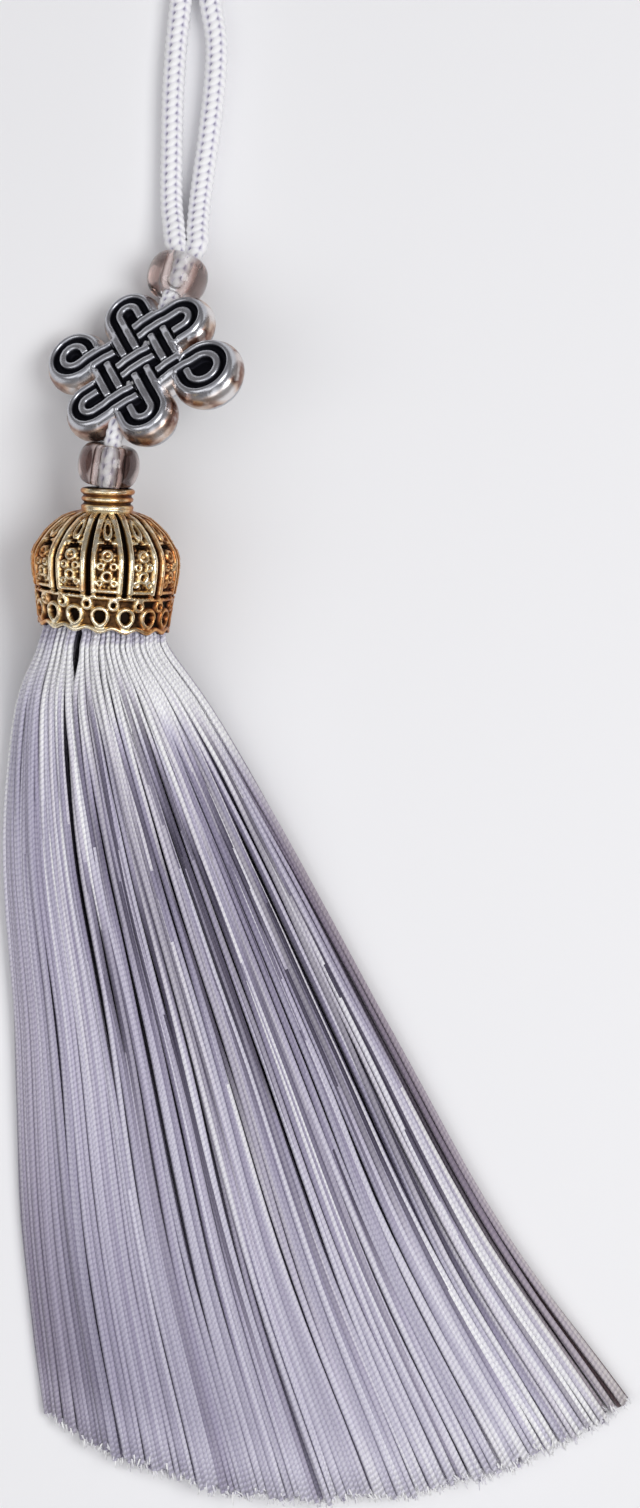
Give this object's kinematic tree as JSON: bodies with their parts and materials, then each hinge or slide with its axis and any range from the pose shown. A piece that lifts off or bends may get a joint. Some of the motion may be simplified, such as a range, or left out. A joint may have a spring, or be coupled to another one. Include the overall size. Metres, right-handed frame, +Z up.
{
  "type": "chinese knot tassel",
  "caption": "Tassel with a braided hanging loop, glass beads, a silver endless-knot charm, a gilt crown cap and a long silk fringe spread as a fan.",
  "frame": {"origin": "On the surface that the tassel lies on, under the middle of the box of all but the hanging loop.", "axes": "+Y from the fringe's tips towards the hanging loop, +X to the fringe's spread side, +Z up from the surface."},
  "size_m": [0.0622, 0.1671, 0.0145],
  "materials": {
    "braid": "pale braided nylon cord",
    "bead_glass": "clear polished glass",
    "antique_silver": "antique silver casting, blackened in its recesses",
    "antique_gilt": "antique gilt casting, darkened in its recesses",
    "silk": "pale lilac silk thread"
  },
  "bodies": {
    "root": {"hang_loop": "braid", "core_cord": "braid", "bead_top": "bead_glass", "bead_low": "bead_glass", "knot_charm": "antique_silver", "crown_cap": "antique_gilt", "fringe": "silk"}
  },
  "joints": []
}
